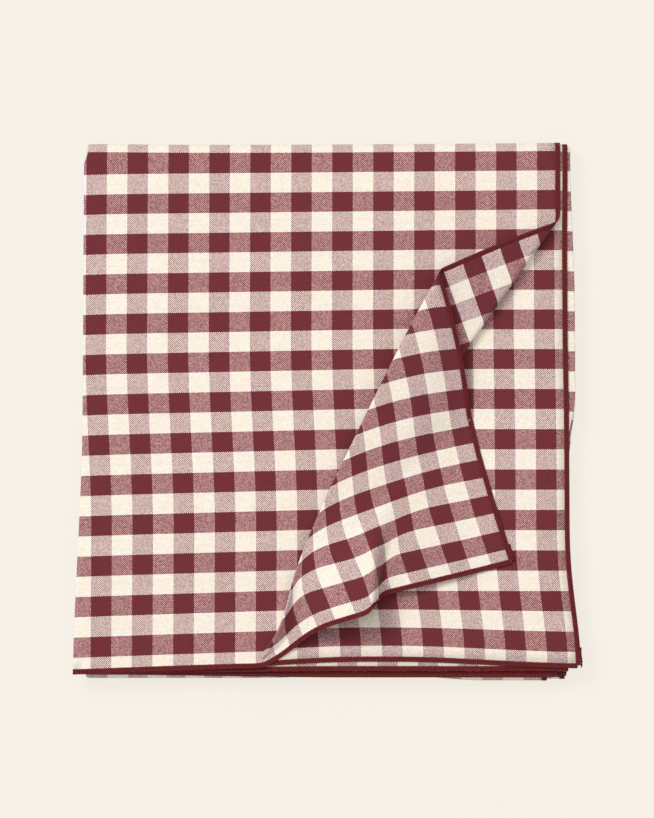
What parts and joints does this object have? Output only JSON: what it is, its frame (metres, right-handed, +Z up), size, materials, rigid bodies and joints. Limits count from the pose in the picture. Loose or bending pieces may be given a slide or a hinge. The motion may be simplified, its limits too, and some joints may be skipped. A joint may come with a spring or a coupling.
{
  "type": "folded tablecloth",
  "caption": "Rectangular gingham tablecloth with overlocked edges, folded to a thick square pad with a corner of its top layer turned back in a loose pleat.",
  "frame": {"origin": "middle of the underside, where the folded cloth rests", "axes": "+Z up from the underside, +Y from the side with the four cut corners to the folded back, +X from the folded left side to the cut edges"},
  "size_m": [0.3602, 0.3992, 0.0411],
  "materials": {
    "gingham": "matte",
    "overlock_thread": "satin",
    "tail_thread": "satin"
  },
  "bodies": {
    "root": {"cloth_folded_layers": "gingham", "cloth_top_layer": "gingham", "overlock_upper_hem": "overlock_thread", "overlock_lower_hem": "overlock_thread", "overlock_top_side": "overlock_thread", "overlock_second_side": "overlock_thread", "thread_tail_flap_corner": "tail_thread", "thread_tail_second_corner": "tail_thread", "thread_tail_third_corner": "tail_thread", "thread_tail_fourth_corner": "tail_thread"}
  },
  "joints": []
}
